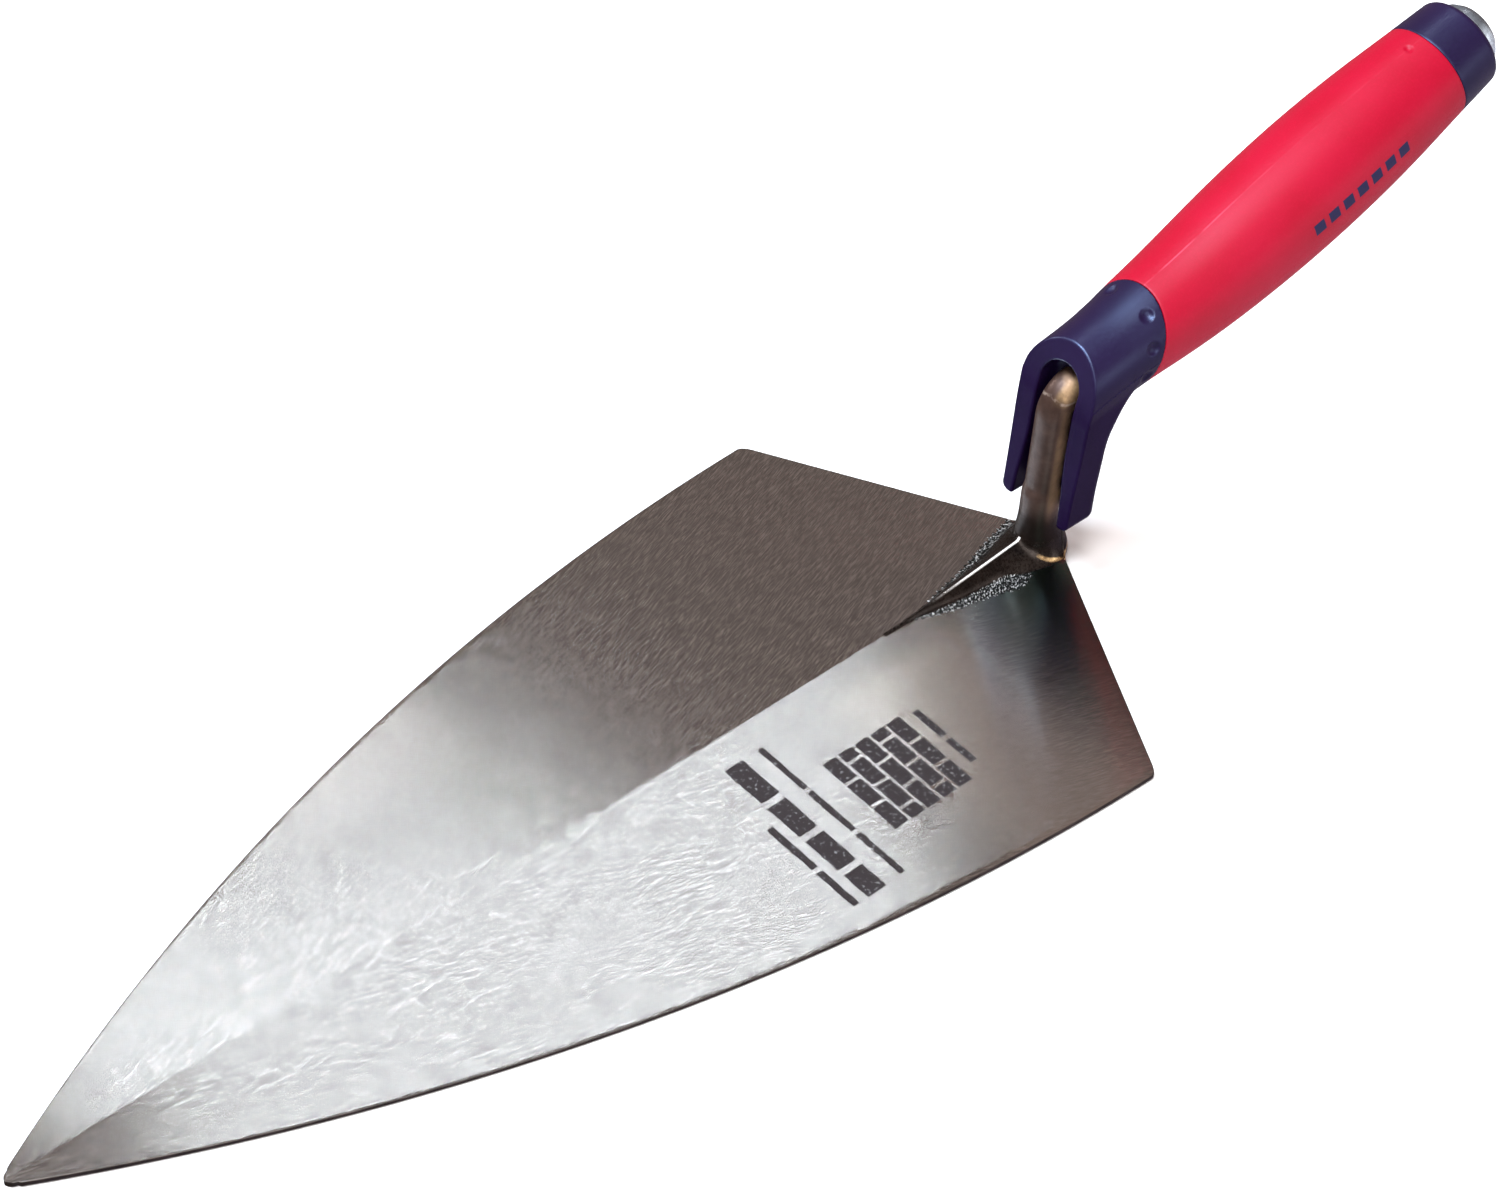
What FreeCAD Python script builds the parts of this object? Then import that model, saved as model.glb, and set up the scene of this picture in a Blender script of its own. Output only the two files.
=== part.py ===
import FreeCAD, Part
import math
import os

import Sketcher
from FreeCAD import Placement, Rotation, Vector

# Brick trowel: a forged steel blade whose shank and tang run up into a two-colour moulded
# handle with a steel striking cap. +X runs from the tip towards the handle's end, +Z up
# from the blade's flat underside, and Y = 0 is the plane of symmetry.
#
# Two working frames are used. The blade frame has its origin on the underside close to the
# heel's point. The handle frame starts above it, and its X runs along the handle's axis.

doc = FreeCAD.newDocument("brick_trowel")
sheet = doc.addObject("Spreadsheet::Sheet", "dims")

DIMENSIONS = [
    # blade
    ("tip_reach", 329.4), ("heel_point", -1.0), ("corner_setback", 41.6),
    ("blade_half", 76.0), ("side_radius", 662.6), ("tip_half", 2.2), ("tip_round", 2.6),
    ("tip_inset", 1.0),
    ("corner_round", 5.0), ("crease_heel", 3.0), ("crease_tip", 1.5), ("edge_drop", 1.7),
    # shank, its bend, its foot and the ridge in front of it
    ("shank_dia", 8.6), ("foot_axis", -8.7), ("bend_axis", -8.2), ("bend_radius", 10.0),
    ("foot_sink", 1.0), ("foot_step", 0.1), ("foot_height", 18.0), ("foot_axis_low", -6.2),
    ("foot_radius_low", 7.8), ("foot_axis_mid", -6.9), ("foot_radius_mid", 6.5),
    ("foot_height_mid", 8.0), ("ridge_end", -57.0), ("ridge_mid", -34.0), ("ridge_end_half", 0.9),
    ("ridge_end_drop", 0.2), ("ridge_base", 0.6), ("ridge_rise", 2.0), ("crest_share", 0.12),
    ("ridge_root", -11.0), ("ridge_mid_height", 5.0), ("ridge_root_height", 9.0),
    ("ridge_mid_half", 4.4), ("ridge_root_half", 6.6),
    # tang inside the handle
    ("tang_start", 16.0), ("tang_dia", 7.8), ("tang_end", 112.0), ("tang_tip_dia", 5.4),
    # handle axis and grip
    ("axis_height", 53.7), ("axis_tilt", 18.5), ("seam_station", 15.1), ("seam_lean", 33.8),
    ("rear_seam", 128.2), ("collar_end", 142.3), ("collar_edge", 2.0),
    # core
    ("core_nose", 4.0), ("core_nose_radius", 7.0), ("core_nose_end", 12.0),
    ("core_swell", 26.0), ("core_swell_radius", 10.4), ("core_mid", 83.0),
    ("core_mid_radius", 13.4), ("core_rear_radius", 10.9), ("core_plug_radius", 9.4),
    ("core_end", 139.0), ("core_rear_bulge", 400.0), ("core_front_bulge", 560.0),
    # striking cap
    ("cap_end", 147.1), ("cap_radius", 9.2), ("cap_face", 7.2), ("stem_radius", 3.0),
    ("stem_start", 119.0), ("cap_chamfer", 2.0), ("barb_start", 2.0), ("barb_pitch", 4.0),
    ("barb_length", 3.0), ("barb_depth", 0.7),
    # finger guard
    ("leg_bottom", 16.0), ("leg_top", 55.0), ("leg_half", 12.0),
    ("leg_back", 1.4), ("leg_round", 4.0), ("leg_end_round", 1.5), ("leg_front", -16.0),
    ("face_low", -11.1), ("face_start", 8.0), ("face_top_run", 8.2), ("face_top_rise", 25.5),
    ("face_bend", -9.3), ("face_bend_height", 50.0), ("face_radius", 43.5),
    ("slot_half", 6.3), ("slot_flare", 1.6), ("slot_flare_height", 40.0),
    ("slot_arch", 57.8), ("slot_back", -2.6), ("web_radius", 9.8), ("web_half", 8.0),
    ("web_front", -2.0), ("web_drop", 7.2), ("web_overlap", 4.0),
    # dimples left in the mouldings
    ("dimple_ball", 3.0), ("dimple_depth", 0.7), ("dimple_gap", 4.4),
    ("rear_dimple_gap", 5.4),
    # margins of the cutting blocks
    ("overhang", 1.0), ("block_half", 30.0), ("block_width", 80.0),
]

DIMPLE_ANGLES = (-97, -65, -29, 29, 65, 97)
BARBS = 4
TOLERANCE = 0.01

# Handle sections: station along the axis, centre above the axis and radius.
SKIN = [(-8.0, 4.8, 12.2), (10.0, 2.8, 12.2), (22.0, 1.6, 13.2), (34.0, 0.5, 14.2),
        (52.0, 0.0, 15.5), (83.0, 0.0, 16.4), (112.0, 0.0, 15.3), (128.2, 0.0, 14.0),
        (142.3, 0.0, 12.9)]

for index, (station, rise, radius) in enumerate(SKIN, 1):
    DIMENSIONS += [("skin_station%d" % index, station), ("skin_rise%d" % index, rise),
                   ("skin_radius%d" % index, radius)]

for row, (alias, value) in enumerate(DIMENSIONS, 1):
    sheet.set("A%d" % row, alias.replace("_", " "))
    sheet.set("B%d" % row, str(value))
    sheet.setAlias("B%d" % row, alias)
doc.recompute()

CAP_REACH = "(dims.cap_end * cos(dims.axis_tilt) + dims.cap_face * sin(dims.axis_tilt))"
ORIGIN_X = "(dims.tip_reach - %s) / 2" % CAP_REACH


def size(expression):
    """The value of an expression over the sheet's cells."""
    return float(sheet.evalExpression(expression))


def lift(text):
    """An expression with each bare alias read from the sheet."""
    return text.replace("$", "dims.")


def bind(item, **properties):
    """Bind properties of an object to expressions over the sheet."""
    for name, text in properties.items():
        item.setExpression(name, lift(text))


def place(item, along_handle=False):
    """Put an object drawn in the blade frame or the handle frame into the part's frame."""
    item.setExpression("Placement.Base.x", ORIGIN_X)
    if along_handle:
        item.Placement.Rotation = Rotation(Vector(0, 1, 0), -size("dims.axis_tilt"))
        item.setExpression("Placement.Base.z", "dims.axis_height")


def new_body(name, along_handle=False):
    body = doc.addObject("PartDesign::Body", name)
    place(body, along_handle)
    return body


def new_sketch(body, name, role, offset=None, axis=2):
    """A sketch on one of the body's own origin planes, moved along the plane's normal."""
    sketch = body.newObject("Sketcher::SketchObject", name)
    plane = [f for f in body.Origin.OriginFeatures if f.Role == role][0]
    sketch.AttachmentSupport = [(plane, "")]
    sketch.MapMode = "FlatFace"
    if offset is not None:
        sketch.setExpression("AttachmentOffset.Base.z", lift(offset))
    return sketch


def dimension(sketch, kind, item, point, text):
    """A horizontal or vertical dimension from the sketch's origin, bound to the sheet."""
    if text == "0":
        axis = -2 if kind == "DistanceX" else -1
        sketch.addConstraint(Sketcher.Constraint("PointOnObject", item, point, axis))
        return
    value = size(lift(text))
    number = sketch.addConstraint(Sketcher.Constraint(kind, -1, 1, item, point, value))
    sketch.setExpression("Constraints[%d]" % number, lift(text))


def radius(sketch, item, text):
    number = sketch.addConstraint(Sketcher.Constraint("Radius", item, size(lift(text))))
    sketch.setExpression("Constraints[%d]" % number, lift(text))


def outline(sketch, corners):
    """A closed outline. Each corner is (x, y) or (x, y, bulge), where the bulge is the radius
    of the arc that leads to the next corner, after a + for a turn to the left or a - for
    one to the right."""
    points = [Vector(size(lift(c[0])), size(lift(c[1])), 0) for c in corners]
    ends = []
    for i, corner in enumerate(corners):
        a = points[i]
        b = points[(i + 1) % len(points)]
        if len(corner) == 2:
            ends.append((sketch.addGeometry(Part.LineSegment(a, b), False), 1, 2))
            continue
        left = corner[2][0] == "+"
        bulge = size(lift(corner[2][1:]))
        half = (b - a) * 0.5
        side = Vector(-half.y, half.x, 0).normalize()
        rise = math.sqrt(max(bulge ** 2 - half.Length ** 2, 0.0))
        centre = a + half + side * (rise if left else -rise)
        start, stop = (a, b) if left else (b, a)
        first = math.atan2(start.y - centre.y, start.x - centre.x)
        last = math.atan2(stop.y - centre.y, stop.x - centre.x)
        circle = Part.Circle(centre, Vector(0, 0, 1), bulge)
        item = sketch.addGeometry(Part.ArcOfCircle(circle, first, last), False)
        ends.append((item, 1, 2) if left else (item, 2, 1))
    for i, (item, first, last) in enumerate(ends):
        after = ends[(i + 1) % len(ends)]
        sketch.addConstraint(Sketcher.Constraint("Coincident", item, last, after[0], after[1]))
    for i, (item, first, last) in enumerate(ends):
        dimension(sketch, "DistanceX", item, first, corners[i][0])
        dimension(sketch, "DistanceY", item, first, corners[i][1])
        if len(corners[i]) == 3:
            radius(sketch, item, corners[i][2][1:])


def disc(sketch, across, up, radius_text):
    """A circle whose centre and radius are bound to the sheet."""
    centre = Vector(size(lift(across)), size(lift(up)), 0)
    circle = Part.Circle(centre, Vector(0, 0, 1), size(lift(radius_text)))
    item = sketch.addGeometry(circle, False)
    dimension(sketch, "DistanceX", item, 3, across)
    dimension(sketch, "DistanceY", item, 3, up)
    radius(sketch, item, radius_text)


def pad(body, sketch, length, midplane=True):
    feature = body.newObject("PartDesign::Pad", sketch.Name + "_pad")
    feature.Profile = sketch
    bind(feature, Length=length)
    feature.Midplane = midplane
    return feature


def loft(body, sketches, ruled=False):
    feature = body.newObject("PartDesign::AdditiveLoft", body.Name + "_loft")
    feature.Profile = sketches[0]
    feature.Sections = sketches[1:]
    feature.Ruled = ruled
    return feature


def revolve(body, sketch):
    feature = body.newObject("PartDesign::Revolution", sketch.Name + "_turn")
    feature.Profile = sketch
    feature.ReferenceAxis = (sketch, ["H_Axis"])
    feature.Angle = 360
    return feature


def boolean(kind, name, first, second):
    item = doc.addObject("Part::" + kind, name)
    item.Base = first
    item.Tool = second
    return item


def fuse(name, members):
    item = doc.addObject("Part::MultiFuse", name)
    item.Shapes = members
    item.Refine = True
    return item


def edges_where(shape, test):
    return ["Edge%d" % (i + 1) for i, edge in enumerate(shape.Edges) if test(edge)]


# Forging: blade, foot, ridge, shank and tang ------------------------------------------

# The blade's outline: a square heel, straight from its point to the two corners, then one
# long arc down each side to a small rounded tip.
outline_body = new_body("blade_outline")
sketch = new_sketch(outline_body, "blade_plan", "XY_Plane")
outline(sketch, [
    ("$heel_point", "0"),
    ("-$corner_setback", "$blade_half", "+$side_radius"),
    ("-$tip_reach + $tip_inset", "$tip_half", "+$tip_round"),
    ("-$tip_reach + $tip_inset", "-$tip_half", "+$side_radius"),
    ("-$corner_setback", "-$blade_half"),
])
pad(outline_body, sketch, "$crease_heel + $overhang", midplane=False)
doc.recompute()


def at_heel_corner(edge):
    middle = edge.BoundBox.Center
    upright = edge.BoundBox.ZLength > TOLERANCE and edge.BoundBox.XLength < TOLERANCE
    return upright and abs(middle.y) > size("dims.blade_half - dims.overhang")


corners = outline_body.newObject("PartDesign::Fillet", "heel_corners")
corners.Base = (outline_body.Group[-2], edges_where(outline_body.Group[-2].Shape, at_heel_corner))
bind(corners, Radius="$corner_round")

# Two flat facets meet in a crease along the middle, thickest at the heel.
facet_body = new_body("blade_facets")
sections = []
for name, where, ridge in (("facet_heel", "$heel_point + $overhang", "$crease_heel"),
                           ("facet_tip", "-$tip_reach - $overhang", "$crease_tip")):
    sketch = new_sketch(facet_body, name, "YZ_Plane", where)
    low = "%s - $edge_drop" % ridge
    wide = "$blade_half + $overhang"
    outline(sketch, [(wide, "0"), (wide, low), ("0", ridge), ("-(%s)" % wide, low),
                     ("-(%s)" % wide, "0")])
    sections.append(sketch)
loft(facet_body, sections, ruled=True)
blade = boolean("Common", "blade_plate", outline_body, facet_body)

# The foot swells where the shank meets the blade, and stands a little over the heel's point.
foot = new_body("shank_foot")
sections = []
for name, height, centre, reach in (
        ("foot_low", "$foot_sink", "$foot_axis_low", "$foot_radius_low"),
        ("foot_mid", "$foot_height_mid", "$foot_axis_mid", "$foot_radius_mid"),
        ("foot_high", "$foot_height", "$foot_axis", "$shank_dia / 2 - $foot_step")):
    sketch = new_sketch(foot, name, "XY_Plane", height)
    disc(sketch, centre, "0", reach)
    sections.append(sketch)
loft(foot, sections)

# A ridge runs forward from the foot and sinks into the crease.
ridge_body = new_body("ridge")
sections = []
for name, where, half, top in (
        ("ridge_front", "$ridge_end", "$ridge_end_half", "$crease_heel - $ridge_end_drop"),
        ("ridge_middle", "$ridge_mid", "$ridge_mid_half", "$ridge_mid_height"),
        ("ridge_back", "$ridge_root", "$ridge_root_half", "$ridge_root_height"),
        ("ridge_inside", "$foot_axis", "$shank_dia / 2", "$ridge_root_height + $ridge_rise")):
    sketch = new_sketch(ridge_body, name, "YZ_Plane", where)
    crest = "(%s) * $crest_share" % half
    outline(sketch, [(half, "$ridge_base"), (crest, top), ("-" + crest, top),
                     ("-(%s)" % half, "$ridge_base")])
    sections.append(sketch)
loft(ridge_body, sections, ruled=True)

# The shank rises from the foot, bends over and runs along the handle's axis.
shank_body = new_body("shank")
path = new_sketch(shank_body, "shank_path", "XZ_Plane")
tilt = math.radians(size("dims.axis_tilt"))
foot_point = Vector(size("dims.foot_axis"), size("dims.foot_sink"), 0)
end_point = Vector(math.cos(tilt), math.sin(tilt), 0) * size("dims.tang_start")
end_point += Vector(0, size("dims.axis_height"), 0)
knee_x = size("dims.bend_axis")
knee = Vector(knee_x, size("dims.axis_height") + knee_x * math.tan(tilt), 0)
up = (knee - foot_point).normalize()
along = (end_point - knee).normalize()
turn = math.acos(up.dot(along))
setback = size("dims.bend_radius") * math.tan(turn / 2)
bend_start = knee - up * setback
bend_end = knee + along * setback
bend_centre = bend_start + Vector(up.y, -up.x, 0) * size("dims.bend_radius")
first = math.atan2(bend_end.y - bend_centre.y, bend_end.x - bend_centre.x)
last = math.atan2(bend_start.y - bend_centre.y, bend_start.x - bend_centre.x)
rise = path.addGeometry(Part.LineSegment(foot_point, bend_start), False)
arc = path.addGeometry(Part.ArcOfCircle(
    Part.Circle(bend_centre, Vector(0, 0, 1), size("dims.bend_radius")), first, last), False)
run = path.addGeometry(Part.LineSegment(bend_end, end_point), False)
path.addConstraint(Sketcher.Constraint("Tangent", rise, 2, arc, 2))
path.addConstraint(Sketcher.Constraint("Tangent", arc, 1, run, 1))
dimension(path, "DistanceX", rise, 1, "$foot_axis")
dimension(path, "DistanceY", rise, 1, "$foot_sink")
dimension(path, "DistanceX", run, 2, "$tang_start * cos($axis_tilt)")
dimension(path, "DistanceY", run, 2, "$tang_start * sin($axis_tilt) + $axis_height")
radius(path, arc, "$bend_radius")
crossing = path.addGeometry(Part.Point(knee), True)
path.addConstraint(Sketcher.Constraint("PointOnObject", crossing, 1, rise))
path.addConstraint(Sketcher.Constraint("PointOnObject", crossing, 1, run))
dimension(path, "DistanceX", crossing, 1, "$bend_axis")
dimension(path, "DistanceY", crossing, 1, "$axis_height + $bend_axis * tan($axis_tilt)")
section = new_sketch(shank_body, "shank_section", "XY_Plane")
section.AttachmentOffset = Placement(Vector(foot_point.x, 0, foot_point.y),
                                     Rotation(Vector(0, 0, 1), Vector(up.x, 0, up.y)))
disc(section, "0", "0", "$shank_dia / 2")
pipe = shank_body.newObject("PartDesign::AdditivePipe", "shank_pipe")
pipe.Profile = section
pipe.Spine = (path, ["Edge1", "Edge2", "Edge3"])

tang = doc.addObject("Part::Cone", "tang")
bind(tang, Radius1="$tang_dia / 2", Radius2="$tang_tip_dia / 2", Height="$tang_end - $tang_start")
tang.Placement.Rotation = Rotation(Vector(0, 1, 0), 90 - size("dims.axis_tilt"))
tang.setExpression("Placement.Base.x", ORIGIN_X + " + dims.tang_start * cos(dims.axis_tilt)")
tang.setExpression("Placement.Base.z", "dims.axis_height + dims.tang_start * sin(dims.axis_tilt)")

forging = fuse("forging", [blade, foot, ridge_body, shank_body, tang])
forging.Label = "blade_forging"


# Handle: one smooth skin shared by guard, sleeve and collar ----------------------------

def skin(name):
    """The handle's outer form, lofted through its round sections."""
    body = new_body(name, along_handle=True)
    rings = []
    for k in range(1, len(SKIN) + 1):
        ring = new_sketch(body, "%s_ring%d" % (name, k), "YZ_Plane", "$skin_station%d" % k)
        rise_text = "$skin_rise%d" % k if SKIN[k - 1][1] else "0"
        disc(ring, "0", rise_text, "$skin_radius%d" % k)
        rings.append(ring)
    loft(body, rings)
    return body


def zone(name, corners):
    """A block through the whole handle, drawn as an outline in the handle's side view."""
    body = new_body(name, along_handle=True)
    sketch = new_sketch(body, name + "_side", "XZ_Plane")
    outline(sketch, corners)
    pad(body, sketch, "$block_width")
    return body


def skin_at(station):
    """The skin's centre above the axis and its radius, between the two nearest sections."""
    for k in range(1, len(SKIN)):
        near = size("dims.skin_station%d" % k)
        far = size("dims.skin_station%d" % (k + 1))
        if near <= station <= far:
            part = (station - near) / (far - near)
            return [size("dims.%s%d" % (name, k)) * (1 - part)
                    + size("dims.%s%d" % (name, k + 1)) * part
                    for name in ("skin_rise", "skin_radius")]
    raise ValueError("no handle at %g" % station)


def on_skin(around, station=None):
    """The centre of a dimple's ball, by its angle from the handle's top. Without a station
    it lies a fixed gap in front of the leaning seam."""
    if station is None:
        station = size("dims.seam_station")
        for _ in range(20):
            rise, across = skin_at(station)
            height = rise + across * math.cos(math.radians(around))
            lean = height * math.tan(math.radians(size("dims.seam_lean")))
            station = size("dims.seam_station - dims.dimple_gap") + lean
    rise, across = skin_at(station)
    level = across + size("dims.dimple_ball - dims.dimple_depth")
    local = Vector(station, level * math.sin(math.radians(around)),
                   rise + level * math.cos(math.radians(around)))
    local = Rotation(Vector(0, 1, 0), -size("dims.axis_tilt")).multVec(local)
    return local + Vector(size(ORIGIN_X), 0, size("dims.axis_height"))


SEAM_LOW = "$seam_station - $block_half * tan($seam_lean)"
SEAM_HIGH = "$seam_station + $block_half * tan($seam_lean)"

# Hard core that grips the tang: a nose inside the guard, a long swell under the sleeve and
# a plug inside the collar.
core_body = new_body("core_form", along_handle=True)
sketch = new_sketch(core_body, "core_profile", "XZ_Plane")
outline(sketch, [
    ("$core_nose", "0"), ("$core_end", "0"), ("$core_end", "$core_plug_radius"),
    ("$rear_seam", "$core_plug_radius"), ("$rear_seam", "$core_rear_radius", "+$core_rear_bulge"),
    ("$core_mid", "$core_mid_radius", "+$core_front_bulge"),
    ("$core_swell", "$core_swell_radius"),
    ("$core_nose_end", "$core_nose_radius"), ("$core_nose", "$core_nose_radius"),
])
revolve(core_body, sketch)

# Steel cap: a chamfered disc on a barbed stem.
cap_body = new_body("cap_form", along_handle=True)
cap_body.Label = "striking_cap"
sketch = new_sketch(cap_body, "cap_profile", "XZ_Plane")
profile = [("$stem_start", "0"), ("$cap_end", "0"), ("$cap_end", "$cap_face"),
           ("$cap_end - $cap_chamfer", "$cap_radius"), ("$core_end", "$cap_radius"),
           ("$core_end", "$stem_radius")]
for k in range(BARBS):
    barb = "$core_end - $barb_start - %d * $barb_pitch" % k
    profile += [(barb, "$stem_radius"), (barb, "$stem_radius + $barb_depth"),
                (barb + " - $barb_length", "$stem_radius")]
profile += [("$stem_start", "$stem_radius")]
outline(sketch, profile)
revolve(cap_body, sketch)

core = boolean("Cut", "core", boolean("Cut", "core_socket", core_body, forging), cap_body)
core.Label = "handle_core"

# Red sleeve: the skin between the leaning front seam and the square rear seam.
sleeve_zone = zone("sleeve_zone", [(SEAM_LOW, "-$block_half"), ("$rear_seam", "-$block_half"),
                                   ("$rear_seam", "$block_half"), (SEAM_HIGH, "$block_half")])
sleeve_shell = boolean("Common", "sleeve_shell", skin("sleeve_skin"), sleeve_zone)
rear_dimple = doc.addObject("Part::Sphere", "rear_dimple")
bind(rear_dimple, Radius="$dimple_ball")
rear_dimple.Placement.Base = on_skin(0, size("dims.rear_seam - dims.rear_dimple_gap"))
sleeve = boolean("Cut", "sleeve", boolean("Cut", "sleeve_bored", sleeve_shell, core_body),
                 rear_dimple)
sleeve.Label = "grip_sleeve"

# Navy collar behind it, round edged, with the cap let into its end.
collar_zone = zone("collar_zone", [
    ("$rear_seam", "-$block_half"), ("$collar_end + $overhang", "-$block_half"),
    ("$collar_end + $overhang", "$block_half"), ("$rear_seam", "$block_half")])
collar_shell = boolean("Common", "collar_shell", skin("collar_skin"), collar_zone)
doc.recompute()


def at_collar_end(edge):
    """The rim of the collar's flat end."""
    local = FreeCAD.Placement(collar_zone.Placement).inverse()
    points = [local.multVec(p) for p in edge.discretize(5)]
    return min(p.x for p in points) > size("dims.collar_end") - TOLERANCE


rim = doc.addObject("Part::Fillet", "collar_rim")
rim.Base = collar_shell
rim.Edges = [(int(name[4:]), size("dims.collar_edge"), size("dims.collar_edge"))
             for name in edges_where(collar_shell.Shape, at_collar_end)]
collar = boolean("Cut", "collar", boolean("Cut", "collar_bored", rim, core_body), cap_body)
collar.Label = "rear_collar"

# Finger guard: the skin's front end, with two legs that flank the shank.
head = boolean("Common", "guard_head", skin("guard_skin"),
               zone("guard_zone", [("-$block_half", "-$block_half"), (SEAM_LOW, "-$block_half"),
                                   (SEAM_HIGH, "$block_half"), ("-$block_half", "$block_half")]))

# Shallow round dimples sit in a row in front of the leaning seam.
for k, around in enumerate(DIMPLE_ANGLES, 1):
    ball = doc.addObject("Part::Sphere", "dimple%d" % k)
    bind(ball, Radius="$dimple_ball")
    ball.Placement.Base = on_skin(around)
    ball.Placement.Rotation = Rotation(Vector(1, 0, 0), -around)
    head = boolean("Cut", "guard_dimpled%d" % k, head, ball)

leg_body = new_body("guard_legs")
sketch = new_sketch(leg_body, "leg_section", "XY_Plane", "$leg_bottom")
INNER = "($leg_half - $leg_round)"
outline(sketch, [
    ("$leg_front", "-$leg_half"), ("$leg_back - $leg_round", "-$leg_half", "+$leg_round"),
    ("$leg_back", "-" + INNER), ("$leg_back", INNER, "+$leg_round"),
    ("$leg_back - $leg_round", "$leg_half"), ("$leg_front", "$leg_half"),
])
pad(leg_body, sketch, "$leg_top - $leg_bottom", midplane=False)
doc.recompute()


def at_leg_end(edge):
    box = edge.BoundBox
    return box.ZMax < size("dims.leg_bottom") + TOLERANCE


leg_ends = leg_body.newObject("PartDesign::Fillet", "leg_ends")
leg_ends.Base = (leg_body.Group[-2], edges_where(leg_body.Group[-2].Shape, at_leg_end))
bind(leg_ends, Radius="$leg_end_round")

# A rounded web fills the corner between the legs' back and the handle's underside.
web_body = new_body("guard_web")
sketch = new_sketch(web_body, "web_side", "XZ_Plane")
WEB_TOP = "($leg_top - $web_drop)"
outline(sketch, [
    ("$web_front", "%s - $web_radius" % WEB_TOP),
    ("$leg_back", "%s - $web_radius" % WEB_TOP, "-$web_radius"),
    ("$leg_back + $web_radius", WEB_TOP),
    ("$leg_back + $web_radius", "%s + $web_overlap" % WEB_TOP),
    ("$web_front", "%s + $web_overlap" % WEB_TOP),
])
pad(web_body, sketch, "2 * $web_half")
doc.recompute()

guard_solid = fuse("guard_solid", [head, leg_body, web_body])

# The guard's front is one flat face up the legs that leans back round the top.
face_body = new_body("guard_face")
sketch = new_sketch(face_body, "face_side", "XZ_Plane")
outline(sketch, [
    ("-$block_half", "$face_start"), ("$face_low", "$face_start"),
    ("$face_bend", "$face_bend_height", "-$face_radius"),
    ("$face_bend + $face_top_run", "$face_bend_height + $face_top_rise"),
    ("-$block_half", "$face_bend_height + $face_top_rise"),
])
pad(face_body, sketch, "$block_width")

# The slot for the shank: an arch that widens towards the legs' ends.
slot_body = new_body("guard_slot")
sketch = new_sketch(slot_body, "slot_front", "YZ_Plane", "-$block_half")
wide = "$slot_half + $slot_flare"
outline(sketch, [
    (wide, "$leg_bottom - $overhang"), ("$slot_half", "$slot_flare_height"),
    ("$slot_half", "$slot_arch", "+$slot_half"),
    ("0", "$slot_arch + $slot_half", "+$slot_half"), ("-$slot_half", "$slot_arch"),
    ("-$slot_half", "$slot_flare_height"), ("-(%s)" % wide, "$leg_bottom - $overhang"),
])
pad(slot_body, sketch, "$slot_back + $block_half", midplane=False)

guard_shape = guard_solid
for name, tool in (("guard_slotted", slot_body), ("guard_faced", face_body),
                   ("guard_bored", forging), ("guard_cored", core_body)):
    guard_shape = boolean("Cut", name, guard_shape, tool)
guard_shape.Label = "finger_guard"

doc.recompute()

# Checks and export --------------------------------------------------------------------

NODES = [forging, core, sleeve, guard_shape, collar, cap_body]

for item in doc.Objects:
    if "Invalid" in item.State or "Error" in item.State:
        raise RuntimeError("%s failed: %s" % (item.Name, item.State))

os.makedirs("parts", exist_ok=True)
for item in NODES:
    shape = item.Shape
    if shape.isNull() or not shape.isValid() or len(shape.Solids) != 1:
        raise RuntimeError("%s is not one valid solid: %d" % (item.Label, len(shape.Solids)))
    box = shape.optimalBoundingBox(True)
    print("%-14s %9.0f mm3  x %.1f %.1f  y %.1f %.1f  z %.1f %.1f" % (
        item.Label, shape.Volume, box.XMin, box.XMax, box.YMin, box.YMax, box.ZMin, box.ZMax))
    shape.exportStep("parts/%s.step" % item.Label)
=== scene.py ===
import math

import bpy
import numpy as np
from mathutils import Matrix, Vector


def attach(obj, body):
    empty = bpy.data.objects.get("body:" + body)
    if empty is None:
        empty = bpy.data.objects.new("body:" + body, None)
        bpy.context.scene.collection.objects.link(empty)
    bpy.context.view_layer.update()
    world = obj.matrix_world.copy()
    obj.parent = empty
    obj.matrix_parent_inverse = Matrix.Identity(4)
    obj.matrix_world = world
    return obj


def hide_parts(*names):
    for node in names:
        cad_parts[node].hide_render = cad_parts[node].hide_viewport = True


# Lengths are in millimetres in the working frame, whose origin lies on the blade's underside
# close to the heel's point: +X towards the handle, +Z up. part_frame() moves them to metres.

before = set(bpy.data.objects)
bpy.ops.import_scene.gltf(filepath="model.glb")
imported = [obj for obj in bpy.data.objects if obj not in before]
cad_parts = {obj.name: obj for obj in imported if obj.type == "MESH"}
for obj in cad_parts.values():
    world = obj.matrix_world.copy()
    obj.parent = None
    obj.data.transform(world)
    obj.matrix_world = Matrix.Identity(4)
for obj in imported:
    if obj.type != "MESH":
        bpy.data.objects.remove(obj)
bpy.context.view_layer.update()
scene = bpy.context.scene

MM = 0.001
ORIGIN_X = 93.8085          # working frame's origin along the part's X
TILT = math.radians(18.5)   # rise of the handle's axis
AXIS_Z = 53.7               # height where the axis crosses X = 0
COS, SIN = math.cos(TILT), math.sin(TILT)
SEAM = 15.1                 # station where the leaning front seam crosses the axis
LEAN = math.tan(math.radians(33.8))
REAR_SEAM = 128.2
COLLAR_END = 142.3
COLLAR_ROUND = 2.2
CAP_END = 147.1
CAP_RADIUS = 9.2

# blade
TIP_X, HEEL_X = -329.4, -1.0
SIDE_CENTRE = (-23.8, -586.5)
SIDE_RADIUS = 662.6
HEEL_SLOPE = 0.534          # how far the heel's edge runs forward for each mm outwards
CORNER_SOFT = 3.2
TIP_RADIUS = 2.6
BEVEL = 0.35
GRAIN_ANGLE = math.radians(18)

SHANK_R = 4.3


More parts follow.
